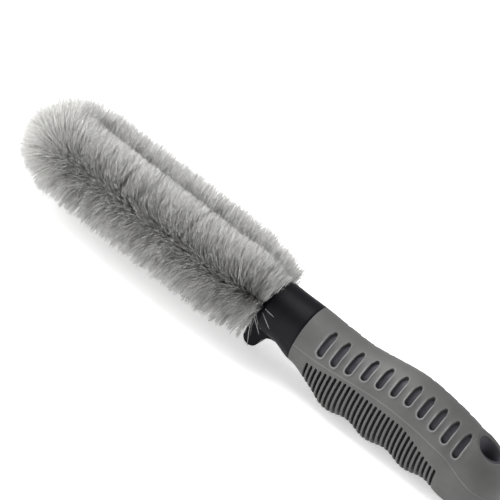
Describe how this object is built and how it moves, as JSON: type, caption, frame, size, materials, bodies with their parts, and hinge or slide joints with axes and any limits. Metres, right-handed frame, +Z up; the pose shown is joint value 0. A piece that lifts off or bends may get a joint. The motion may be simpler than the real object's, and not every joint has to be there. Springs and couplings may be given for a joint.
{
  "type": "wheel brush",
  "caption": "Hand-held brush with a long loop of soft grey filaments on twisted wire and a curved rubber grip with finger waves, a finger guard and a hang hole.",
  "frame": {"origin": "centre of the box on the surface the brush lies on", "axes": "+X along the brush from the bristle tip to the handle end, +Y across it to the far leg of the loop, +Z up out of the palm side"},
  "size_m": [0.2701, 0.0592, 0.044],
  "materials": {
    "core": "satin",
    "grip": "matte",
    "wire": "satin",
    "bristle": "matte"
  },
  "bodies": {
    "root": {"handle_core": "core", "grip_sleeve": "grip", "wire_strand_a": "wire", "wire_strand_b": "wire", "tip_bristles_near": "bristle", "tip_bristles_far": "bristle", "near_bristles_1": "bristle", "near_bristles_2": "bristle", "near_bristles_3": "bristle", "near_bristles_4": "bristle", "near_bristles_5": "bristle", "near_bristles_6": "bristle", "near_bristles_7": "bristle", "near_bristles_8": "bristle", "far_bristles_1": "bristle", "far_bristles_2": "bristle", "far_bristles_3": "bristle", "far_bristles_4": "bristle", "far_bristles_5": "bristle", "far_bristles_6": "bristle", "far_bristles_7": "bristle", "far_bristles_8": "bristle"}
  },
  "joints": []
}
